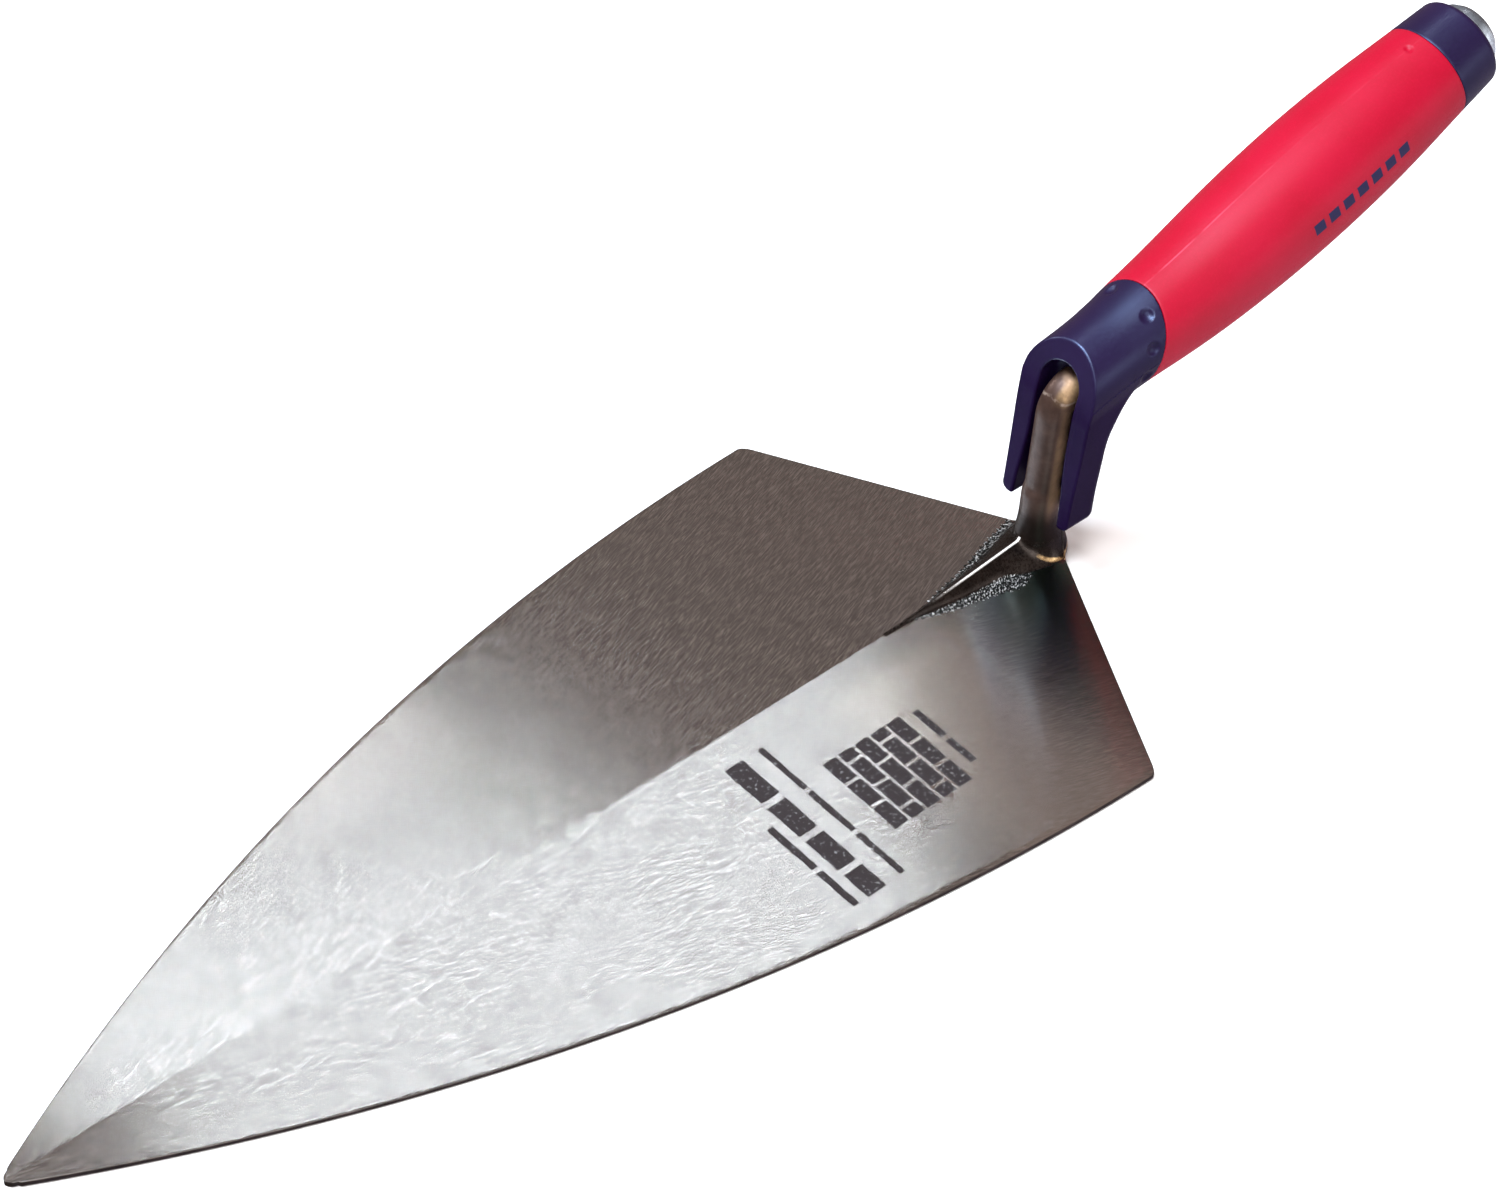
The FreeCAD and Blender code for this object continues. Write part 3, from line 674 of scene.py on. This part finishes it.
def steel_blade():
    """Brushed steel. The grain leans outwards on either side of the crease."""
    n = Nodes("blade_steel_brushed")
    _, (x, y, z) = n.position()
    px, py = n.blade_place(x, y)
    side, turn = n.size(y), n.math("SIGN", y)
    cos, sin = math.cos(GRAIN_ANGLE), math.sin(GRAIN_ANGLE)
    along = n.plus(n.times(x, cos), n.times(side, sin))
    across = n.minus(n.times(side, cos), n.times(x, sin))

    def brushed(long, wide, layer, detail, roughness):
        place = n.combine(n.times(along, long), n.times(across, wide), n.times(turn, layer))
        return n.noise(place, 1.0, detail, roughness)
    grain = n.plus(n.times(brushed(170.0, 2900.0, 1.0, 3.0, 0.7), 0.6),
                   n.times(brushed(420.0, 3600.0, 5.0, 1.0, 0.5), 0.4))
    streak = brushed(165.0, 1300.0, 3.0, 3.0, 0.65)
    tone = n.mix(n.ramp(grain, 0.42, 0.58), (0.44, 0.465, 0.48, 1), (0.76, 0.805, 0.83, 1))
    tone = n.mix(n.ramp(streak, 0.36, 0.64, 0.55, 0.0), tone, (0.33, 0.345, 0.36, 1))
    # a paler patch painted in as a highlight, cloudy variation, a paler band painted in as a
    # highlight and a darker heel painted in as shade
    painted_highlight_patch = n.times(n.ramp(y, 0.022, 0.062), n.ramp(x, -0.150, -0.105), n.ramp(x, -0.062, -0.082))
    tone = n.mix(n.times(painted_highlight_patch, 0.45), tone, (0.96, 0.98, 1.0, 1))
    cloud = n.noise(n.combine(x, y, 0.0), 22.0, 3.0, 0.5)
    tone = n.mix(n.ramp(cloud, 0.35, 0.7, 0.0, 0.3), tone, (0.57, 0.60, 0.62, 1))
    # painted highlight: the -Y facet made paler towards the heel, standing in for a bright
    # reflection
    pale = n.times(n.ramp(x, -0.005, 0.020), n.ramp(x, 0.062, 0.036), n.ramp(y, -0.002, -0.014))
    tone = n.mix(n.times(pale, 0.55), tone, (0.95, 0.97, 0.95, 1))
    # painted shade: the -Y side of the heel darkened, standing in for a dark reflection
    heel = n.times(n.ramp(x, 0.038, 0.078), n.ramp(y, 0.002, -0.006))
    tone = n.mix(n.times(heel, 0.93), tone, (0.10, 0.180, 0.160, 1))
    scuff = n.noise(n.combine(n.times(x, 500.0), n.times(y, 900.0), 2.0), 1.0, 3.0, 0.7)
    patch = n.ramp(n.noise(n.combine(x, y, 4.0), 45.0, 1.0, 0.5), 0.52, 0.66)
    scuff = n.times(n.ramp(scuff, 0.66, 0.74), patch, n.ramp(x, -0.02, 0.05))
    tone = n.mix(n.times(scuff, 0.4), tone, (0.85, 0.85, 0.85, 1))
    # printed marks, on the top only
    wear = n.ramp(n.noise(n.combine(x, y, 0.0), 900.0, 3.0, 0.6), 0.30, 0.42, 0.55, 1.0)
    ink = n.times(boxes(n, px, py, blade_marks()), wear, n.ramp(z, 0.0003, 0.0006))
    rough = n.math("MAXIMUM", n.ramp(grain, 0.35, 0.65, 0.205, 0.23), n.times(ink, 0.5))
    n.shade(Base_Color=n.mix(ink, tone, (0.022, 0.018, 0.020, 1)), Metallic=n.minus(1.0, ink),
            Roughness=rough, Anisotropic=1.0, Tangent=n.combine(n.times(turn, -sin), cos, 0.0),
            Normal=n.bump(grain, 0.22, 0.00001))
    return n.material


# colour of the painted golden highlights on the forging
GOLD_HIGHLIGHT = (0.95, 0.66, 0.34, 1)


def painted_crest_highlights(n, vector, x, y, tone):
    """Painted highlights: the ridge's crest painted near white and less metallic, and a broken
    golden curve painted round the shank's foot.
    """
    px, py = n.blade_place(x, y)
    # painted highlight: a near-white line along the ridge's crest
    crest = n.times(n.close_to(y, 0.0, 0.0002, 0.0005), n.ramp(x, 0.0815, 0.0785),
                    n.ramp(x, 0.046, 0.064))
    tone = n.mix(crest, tone, (1.0, 0.98, 0.95, 1))
    # painted highlight: a broken golden arc round the shank's foot on the -Y side
    from_axis = n.plus(px, 6.2)
    ring = n.math("SQRT", n.plus(n.times(from_axis, from_axis), n.times(py, py)))
    arc = n.times(n.close_to(ring, 8.6, 0.15, 0.5), n.ramp(py, -5.0, -6.8))
    broken = n.ramp(n.noise(vector, 420.0, 2.0, 0.5), 0.36, 0.60)
    return n.mix(n.times(arc, broken), tone, GOLD_HIGHLIGHT), n.minus(1.0, n.times(crest, 0.45))


def painted_shank_light_and_crease(n, vector, x, y, z, cloud, tone, roughness):
    """A gold band painted up one side and a gold spot painted at the bend as highlights, a crease at
    the bend, a dark foot painted as shade and a gold line painted low on the -Y side of the foot as
    a highlight.
    """
    px, py = n.blade_place(x, y)
    # painted highlight: a gold band up the side of the shank that faces +X and -Y
    to_side = n.minus(n.times(n.plus(px, 8.6), 0.74), n.times(py, 0.68))
    patchy = n.ramp(n.noise(vector, 260.0, 3.0, 0.5), 0.2, 0.6, 0.5, 1.0)
    gold = n.times(n.ramp(to_side, 0.6, 2.8), n.ramp(z, 0.010, 0.022), patchy)
    tone = n.mix(n.times(gold, n.ramp(z, 0.040, 0.047, 0.8, 0.35)), tone, (0.52, 0.33, 0.20, 1))
    roughness = n.plus(roughness, n.times(gold, 0.12))
    # painted highlight: a gold spot on the -Y side of the bend
    bend_highlight = n.times(n.close_to(z, 0.0570, 0.0005, 0.0045), n.ramp(y, -0.0004, -0.0036))
    tone = n.mix(n.times(bend_highlight, n.ramp(cloud, 0.35, 0.6, 0.2, 0.75)), tone, (0.80, 0.52, 0.24, 1))
    crease_height = n.plus(0.0550, n.times(n.size(y), -0.35))
    crease = n.times(n.close_to(z, crease_height, 0.0001, 0.0005),
                     n.ramp(n.noise(vector, 500.0, 2.0, 0.5), 0.35, 0.6, 0.0, 0.4))
    tone = n.mix(crease, tone, (0.62, 0.50, 0.42, 1))
    # painted shade: the shank darkened to near black towards the bottom, from 22 mm down to 12 mm
    tone = n.mix(n.ramp(z, 0.022, 0.012, 0.0, 0.85), tone, (0.020, 0.015, 0.013, 1))
    # painted highlight: a broken gold line low on the -Y side of the foot, where it meets the blade
    lip_highlight = n.times(n.close_to(z, 0.0032, 0.0003, 0.0008), n.ramp(y, -0.0046, -0.0064))
    tone = n.mix(n.times(lip_highlight, n.ramp(cloud, 0.35, 0.55, 0.25, 1.0)), tone, GOLD_HIGHLIGHT)
    return tone, n.ramp(z, 0.014, 0.020, 0.9, 0.5), roughness


def steel_forged(name, dark, light, rough, edge=False, band=False):
    n = Nodes(name)
    vector, (x, y, z) = n.position()
    cloud = n.noise(vector, 160.0, 5.0, 0.6)
    fine = n.noise(vector, 1400.0, 3.0, 0.6)
    tone = n.mix(n.ramp(cloud, 0.3, 0.7), dark, light)
    roughness = n.ramp(fine, 0.3, 0.7, rough - 0.05, rough + 0.09)
    metallic = 1.0
    if edge:
        tone, metallic = painted_crest_highlights(n, vector, x, y, tone)
    if band:
        tone, metallic, roughness = painted_shank_light_and_crease(n, vector, x, y, z, cloud, tone, roughness)
    n.shade(Base_Color=tone, Metallic=metallic, Roughness=roughness,
            Normal=n.bump(fine, 0.3, 0.00006))
    return n.material


def steel_rough():
    """Hatched strips where the grinding stopped: bright and dark flecks."""
    n = Nodes("steel_rough_strip")
    vector, (x, y, _) = n.position()
    side = n.size(y)
    place = n.combine(n.times(n.plus(x, side), 1500.0), n.times(n.minus(x, side), 750.0), 0.0)
    hatch = n.noise(place, 1.0, 2.0, 0.6)
    fine = n.noise(vector, 1900.0, 3.0, 0.7)
    mixed = n.plus(n.times(hatch, 0.75), n.times(fine, 0.25))
    tone = n.mix(n.ramp(mixed, 0.50, 0.64), (0.018, 0.020, 0.019, 1), (0.92, 0.94, 0.95, 1))
    n.shade(Base_Color=tone, Metallic=1.0, Roughness=n.ramp(fine, 0.3, 0.7, 0.34, 0.5),
            Normal=n.bump(mixed, 0.8, 0.0003))
    return n.material


def grip_marks(n, vector, x, y, z, tone):
    """A row of plain printed bars, and the parting line along the top, rubbed pale."""
    station, above = n.handle_place(x, z)
    around = n.times(n.math("ARCTAN2", n.times(y, 1000.0), above), 16.0)
    bars = [(70 + k * 5.3, -22.6, 73.6 + k * 5.3, -19.4) for k in range(7)]
    tone = n.mix(boxes(n, station, around, bars), tone, (0.02, 0.016, 0.06, 1))
    rub = n.ramp(n.noise(vector, 120.0, 2.0, 0.5), 0.35, 0.65, 0.02, 0.34)
    line = n.times(n.close_to(around, 0.0, 0.10, 0.34), n.ramp(station, 85.0, 30.0, 0.12, 1.0))
    return n.mix(n.times(line, rub), tone, (0.72, 0.12, 0.20, 1))


def plastic(name, colour, light, roughness, shine, tint=(1, 1, 1, 1), marks=False, dull=None):
    """Moulded plastic. Below the heights in dull its skin has less shine."""
    n = Nodes(name)
    vector, (x, y, z) = n.position()
    fine = n.noise(vector, 2600.0, 2.0, 0.5)
    cloud = n.noise(vector, 60.0, 3.0, 0.5)
    speck = n.noise(vector, 1500.0, 2.0, 0.6)
    pale = [min(1, c * 1.2) for c in light[:3]] + [1]
    tone = n.mix(n.ramp(cloud, 0.3, 0.7), colour, light)
    tone = n.mix(n.ramp(speck, 0.45, 0.75, 0.0, 0.35), tone, pale)
    if marks:
        tone = grip_marks(n, vector, x, y, z, tone)
    if dull:
        shine = n.ramp(z, dull[0], dull[1], shine * 0.08, shine)
    n.shade(Base_Color=tone, IOR=1.48, Specular_IOR_Level=shine, Specular_Tint=tint,
            Roughness=n.ramp(fine, 0.3, 0.7, roughness - 0.05, roughness + 0.06),
            Normal=n.bump(fine, 0.3, 0.00005))
    return n.material


def steel_cap():
    """Turned steel, with painted shade: darker over the cap's side except towards -Y, standing in
    for a dark reflection.
    """
    n = Nodes("cap_steel_turned")
    vector, (x, y, z) = n.position()
    station, above = n.handle_place(x, z)
    beside = n.times(y, 1000.0)
    reach = n.math("SQRT", n.plus(n.times(above, above), n.times(beside, beside)))
    rings = n.noise(n.combine(n.times(reach, 6.0), n.times(station, 6.0), 0.0), 1.0, 2.0, 0.6)
    fine = n.noise(vector, 900.0, 3.0, 0.6)
    grain = n.plus(n.times(rings, 0.6), n.times(fine, 0.4))
    tone = n.mix(n.ramp(grain, 0.35, 0.65), (0.50, 0.56, 0.62, 1), (0.76, 0.84, 0.92, 1))
    # painted shade: the cap's side darkened except where it turns towards -Y
    dark = n.times(n.ramp(station, COLLAR_END + 0.55, COLLAR_END + 0.75),
                   n.ramp(station, CAP_END - 0.05, CAP_END - 0.4), n.ramp(y, -0.0078, -0.0045))
    tone = n.mix(n.times(dark, 0.86), tone, (0.07, 0.07, 0.08, 1))
    n.shade(Base_Color=tone, Metallic=n.ramp(station, CAP_END - 1.6, CAP_END - 0.1, 0.6, 0.75),
            Roughness=n.ramp(grain, 0.3, 0.7, 0.24, 0.38), Normal=n.bump(rings, 0.2, 0.00004))
    return n.material


def floor_material():
    n = Nodes("floor_pale")
    vector, _ = n.position()
    cloud = n.noise(vector, 3.0, 2.0, 0.5)
    n.shade(Base_Color=n.mix(cloud, (0.90, 0.90, 0.90, 1), (0.93, 0.93, 0.93, 1)),
            Roughness=0.9, Specular_IOR_Level=0.0)
    return n.material


# build ---------------------------------------------------------------------------------

def dress(item, material, slot, *nodes):
    item.data.materials.clear()
    item.data.materials.append(material)
    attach(item, "root")
    if nodes:
        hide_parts(*nodes)
    return item


navy = plastic("navy_plastic", (0.0085, 0.0026, 0.022, 1), (0.0110, 0.0036, 0.028, 1), 0.36, 0.72,
               tint=(0.46, 0.62, 1.0, 1), dull=(0.052, 0.066))
red = plastic("red_plastic", (0.330, 0.0018, 0.0165, 1), (0.358, 0.0024, 0.021, 1), 0.42, 0.26,
              tint=(0.7, 0.85, 1.0, 1), marks=True)
core_grey = plastic("core_plastic", (0.32, 0.32, 0.33, 1), (0.36, 0.36, 0.37, 1), 0.5, 0.3)
forged = steel_forged("shank_steel_forged", (0.046, 0.024, 0.018, 1), (0.078, 0.043, 0.033, 1), 0.40,
                      band=True)
ridge = steel_forged("ridge_steel_forged", (0.030, 0.025, 0.023, 1), (0.055, 0.045, 0.040, 1), 0.28,
                     edge=True)
rim = steel_forged("rim_steel_dark", (0.05, 0.045, 0.042, 1), (0.10, 0.085, 0.08, 1), 0.40)

blade = dress(make_blade(), steel_blade(), "blade_steel", "blade_forging")
for extra in (ridge, steel_rough(), rim):
    blade.data.materials.append(extra)
blade.data.polygons.foreach_set("material_index", list(blade["zones"]))
del blade["zones"]
shank = dress(make_shank(), forged, "blade_steel")
sleeve = dress(make_sleeve(), red, "grip_red", "grip_sleeve")
guard = dress(make_guard(), navy, "guard_navy", "finger_guard")
collar = dress(make_collar(), navy, "collar_navy", "rear_collar")
cap = dress(make_cap(), steel_cap(), "cap_steel", "striking_cap")
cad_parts["handle_core"].data.materials.clear()
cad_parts["handle_core"].data.materials.append(core_grey)

# floor, light and camera ---------------------------------------------------------------

CAMERA = Vector((-621.5, -489.5, 736.7))
RIGHT = Vector((0.7354, -0.6744, 0.0666)).normalized()
DOWN = Vector((-0.4385, -0.5485, -0.7119)).normalized()
FORWARD = Vector((0.5166, 0.4944, -0.6991)).normalized()
FOCAL = 4147.45             # in pixels of a 1500 wide frame
CENTRE = (755.17, 600.92)


def to_world(v):
    return Vector((v[0] + ORIGIN_X, v[1], v[2])) * MM


def facing(right, down, forward):
    """A rotation that looks along forward with right and down as given."""
    up = -down
    return Matrix((right, up, -forward)).transposed().to_4x4()


camera_data = bpy.data.cameras.new("camera")
camera = bpy.data.objects.new("camera", camera_data)
scene.collection.objects.link(camera)
camera.matrix_world = Matrix.Translation(to_world(CAMERA)) @ facing(RIGHT, DOWN, FORWARD)
camera_data.sensor_width = 36.0
camera_data.lens = FOCAL * 36 / 1500
camera_data.shift_x = -(CENTRE[0] - 750) / 1500
camera_data.shift_y = (CENTRE[1] - 595.5) / 1500
camera_data.clip_start, camera_data.clip_end = 0.05, 30
scene.camera = camera

floor_mesh = bpy.data.meshes.new("floor")
floor_mesh.from_pydata([(-6, -6, 0), (6, -6, 0), (6, 6, 0), (-6, 6, 0)], [], [(0, 1, 2, 3)])
floor = bpy.data.objects.new("floor", floor_mesh)
floor.location.z = -0.0002
scene.collection.objects.link(floor)
floor_mesh.materials.append(floor_material())
floor.visible_glossy = False


def strip_light(name, centre, length, width, roll, power):
    """A long narrow light aimed at the middle of the blade, in the working frame."""
    centre = Vector(centre)
    aim = (Vector((-150, 0, 0)) - centre).normalized()
    side = aim.cross(Vector((0, 0, 1))).normalized()
    up = side.cross(aim)
    x_axis = side * math.cos(roll) + up * math.sin(roll)
    y_axis = up * math.cos(roll) - side * math.sin(roll)
    data = bpy.data.lights.new(name, "AREA")
    data.shape = "RECTANGLE"
    data.size, data.size_y = length * MM, width * MM
    data.energy = power
    item = bpy.data.objects.new(name, data)
    turn = Matrix((x_axis, y_axis, -aim)).transposed().to_4x4()
    item.matrix_world = Matrix.Translation(to_world(centre)) @ turn
    scene.collection.objects.link(item)
    return item


def area_light(name, place, target, size, power, colour=(1, 1, 1)):
    """A broad light in metres in the part's frame."""
    data = bpy.data.lights.new(name, "AREA")
    data.shape = "RECTANGLE"
    data.size, data.size_y = size
    data.energy = power
    data.color = colour
    item = bpy.data.objects.new(name, data)
    place, target = Vector(place), Vector(target)
    item.rotation_mode = "QUATERNION"
    item.rotation_quaternion = (target - place).to_track_quat("-Z", "Y")
    item.location = place
    scene.collection.objects.link(item)
    return item


# The strip, mirrored along the brushed grain, lights the blade. The others light the rest.
strip_light("strip", (1355.1, 1542.1, 2910.1), 927.0, 60.0, 0.176, 7.0)
area_light("key", (-0.75, 0.75, 2.6), (0, 0, 0), (0.9, 1.2), 130, (0.80, 0.90, 1.0))
area_light("top", (-0.75, -0.45, 2.7), (-0.1, 0, 0), (1.0, 1.2), 60)
area_light("front", (-0.7, -2.3, 1.9), (0, 0, 0.05), (1.6, 1.4), 24)
area_light("fill", (1.0, -1.8, 0.45), (0.1, 0, 0.05), (0.7, 0.6), 3)
area_light("back", (-0.6, 2.3, 1.15), (0.0, 0, 0.05), (0.5, 0.6), 16)


def room(name, colour, glow, towards):
    """An even room, with a paler patch below that only rounded plastic mirrors."""
    world = bpy.data.worlds.new(name)
    world.use_nodes = True
    tree = world.node_tree
    coords = tree.nodes.new("ShaderNodeTexCoord")
    dot = tree.nodes.new("ShaderNodeVectorMath")
    dot.operation = "DOT_PRODUCT"
    dot.inputs[1].default_value = Vector(towards).normalized()
    ramp = tree.nodes.new("ShaderNodeMapRange")
    ramp.interpolation_type = "SMOOTHSTEP"
    for socket, value in zip(list(ramp.inputs)[1:5], (0.45, 0.85, 0.0, 1.0)):
        socket.default_value = value
    mix = tree.nodes.new("ShaderNodeMixRGB")
    mix.inputs[1].default_value = colour
    mix.inputs[2].default_value = glow
    tree.links.new(coords.outputs["Generated"], dot.inputs[0])
    tree.links.new(dot.outputs["Value"], ramp.inputs[0])
    tree.links.new(ramp.outputs[0], mix.inputs[0])
    tree.links.new(mix.outputs[0], tree.nodes["Background"].inputs[0])
    return world


scene.world = room("room", (0.228, 0.168, 0.144, 1), (0.42, 0.36, 0.45, 1), (0.45, -0.55, -0.70))

scene.view_settings.view_transform = "Standard"
